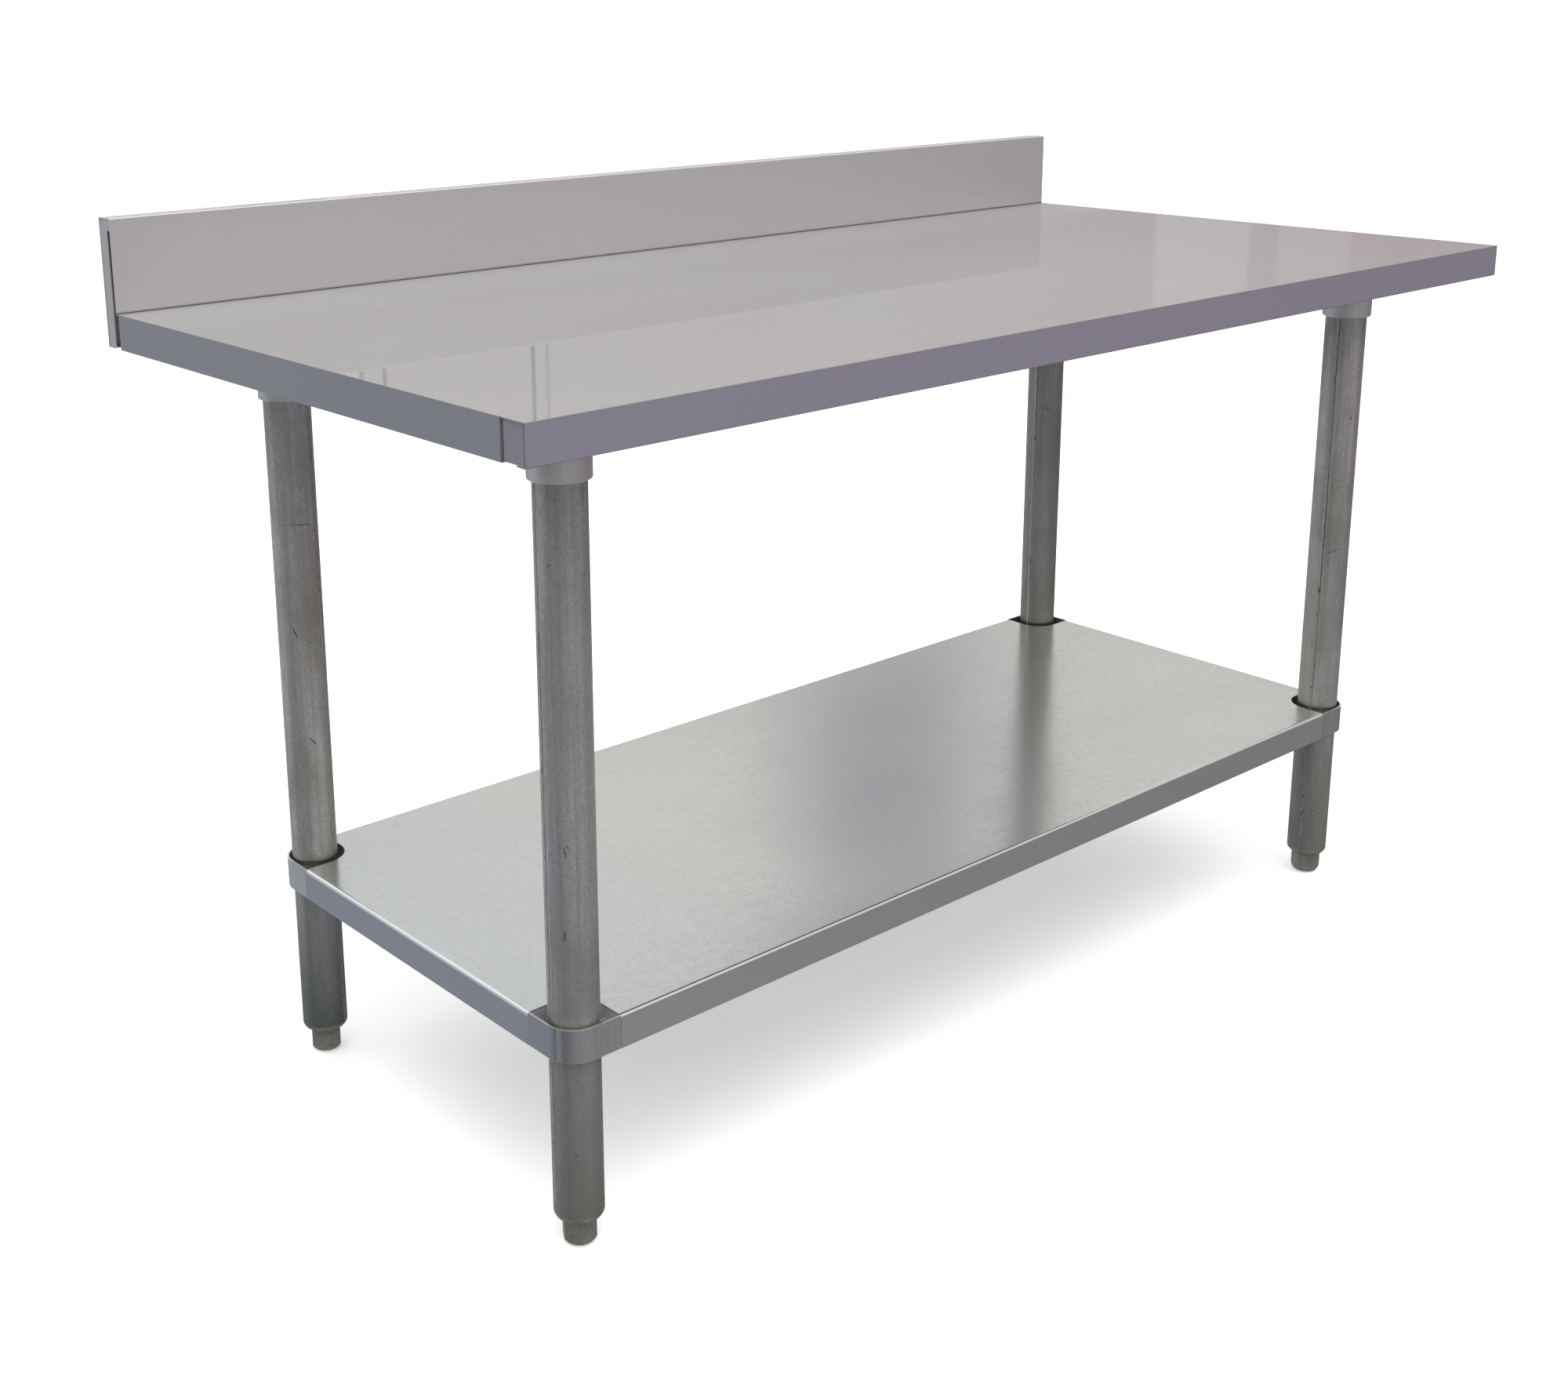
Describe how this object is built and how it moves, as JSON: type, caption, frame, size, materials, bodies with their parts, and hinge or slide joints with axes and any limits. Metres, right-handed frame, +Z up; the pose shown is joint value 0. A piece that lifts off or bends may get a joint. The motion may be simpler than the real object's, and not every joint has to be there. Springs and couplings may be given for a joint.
{
  "type": "stainless work table",
  "caption": "Flat folded steel worktop with a rear splash on round tube legs, with a height-adjustable undershelf and screw-in levelling feet.",
  "frame": {"origin": "on the floor, midway between the ends and midway between the worktop's front edge and the splash's rear face", "axes": "+X along the front edge to the right, +Y to the rear, +Z up"},
  "size_m": [1.524, 0.762, 0.9652],
  "materials": {
    "worktop_steel": "stainless sheet, fine brushed, semi-mirror",
    "formed_steel": "folded stainless channel, mill finish",
    "socket_cast": "satin cast socket",
    "leg_tube": "galvanised tube, mottled and streaked",
    "shelf_steel": "galvanised sheet, smooth, soft reflections",
    "band_steel": "folded steel strip, satin",
    "bracket_steel": "bent steel strip, bright mill finish",
    "foot_metal": "zinc-plated cast foot, dull and soiled",
    "fastener_steel": "zinc-plated screws and nuts"
  },
  "bodies": {
    "frame": {"worktop_sheet": "worktop_steel", "splash_end_cap_left": "worktop_steel", "front_corner_plate_left": "worktop_steel", "top_channel_left": "formed_steel", "splash_end_cap_right": "worktop_steel", "front_corner_plate_right": "worktop_steel", "top_channel_right": "formed_steel", "top_channel_centre": "formed_steel", "channel_studs": "fastener_steel", "channel_nuts": "fastener_steel", "socket_set_screws": "fastener_steel", "leg_socket_front_left": "socket_cast", "leg_front_left": "leg_tube", "foot_insert_front_left": "foot_metal", "leg_socket_front_right": "socket_cast", "leg_front_right": "leg_tube", "foot_insert_front_right": "foot_metal", "leg_socket_rear_left": "socket_cast", "leg_rear_left": "leg_tube", "foot_insert_rear_left": "foot_metal", "leg_socket_rear_right": "socket_cast", "leg_rear_right": "leg_tube", "foot_insert_rear_right": "foot_metal"},
    "shelf": {"shelf_pan": "shelf_steel", "shelf_stiffener": "formed_steel", "shelf_clamp_screws": "fastener_steel", "shelf_corner_band_front_left": "band_steel", "shelf_corner_bracket_front_left": "bracket_steel", "shelf_corner_band_front_right": "band_steel", "shelf_corner_bracket_front_right": "bracket_steel", "shelf_corner_band_rear_left": "band_steel", "shelf_corner_bracket_rear_left": "bracket_steel", "shelf_corner_band_rear_right": "band_steel", "shelf_corner_bracket_rear_right": "bracket_steel"},
    "stem_front_left": {"foot_stem_front_left": "fastener_steel"},
    "foot_front_left": {"bullet_foot_front_left": "foot_metal"},
    "stem_front_right": {"foot_stem_front_right": "fastener_steel"},
    "foot_front_right": {"bullet_foot_front_right": "foot_metal"},
    "stem_rear_left": {"foot_stem_rear_left": "fastener_steel"},
    "foot_rear_left": {"bullet_foot_rear_left": "foot_metal"},
    "stem_rear_right": {"foot_stem_rear_right": "fastener_steel"},
    "foot_rear_right": {"bullet_foot_rear_right": "foot_metal"}
  },
  "joints": [
    {"name": "shelf_height", "type": "slide", "parent": "frame", "child": "shelf", "axis": [0, 0, 1], "range_m": [-0.12, 0.3]},
    {"name": "foot_travel_front_left", "type": "slide", "parent": "frame", "child": "stem_front_left", "axis": [0, 0, -1], "range_m": [0, 0.0245]},
    {"name": "foot_turn_front_left", "type": "hinge", "parent": "stem_front_left", "child": "foot_front_left", "pos_m": [-0.634, -0.254, 0.012], "axis": [0, 0, -1], "range_deg": [0, 5040]},
    {"name": "foot_travel_front_right", "type": "slide", "parent": "frame", "child": "stem_front_right", "axis": [0, 0, -1], "range_m": [0, 0.0245]},
    {"name": "foot_turn_front_right", "type": "hinge", "parent": "stem_front_right", "child": "foot_front_right", "pos_m": [0.634, -0.254, 0.012], "axis": [0, 0, -1], "range_deg": [0, 5040]},
    {"name": "foot_travel_rear_left", "type": "slide", "parent": "frame", "child": "stem_rear_left", "axis": [0, 0, -1], "range_m": [0, 0.0245]},
    {"name": "foot_turn_rear_left", "type": "hinge", "parent": "stem_rear_left", "child": "foot_rear_left", "pos_m": [-0.634, 0.231, 0.012], "axis": [0, 0, -1], "range_deg": [0, 5040]},
    {"name": "foot_travel_rear_right", "type": "slide", "parent": "frame", "child": "stem_rear_right", "axis": [0, 0, -1], "range_m": [0, 0.0245]},
    {"name": "foot_turn_rear_right", "type": "hinge", "parent": "stem_rear_right", "child": "foot_rear_right", "pos_m": [0.634, 0.231, 0.012], "axis": [0, 0, -1], "range_deg": [0, 5040]}
  ],
  "couplings": [
    {"joint": "foot_turn_front_left", "follows": "foot_travel_front_left", "rad_per_m": 3590.4},
    {"joint": "foot_turn_front_right", "follows": "foot_travel_front_right", "rad_per_m": 3590.4},
    {"joint": "foot_turn_rear_left", "follows": "foot_travel_rear_left", "rad_per_m": 3590.4},
    {"joint": "foot_turn_rear_right", "follows": "foot_travel_rear_right", "rad_per_m": 3590.4}
  ]
}
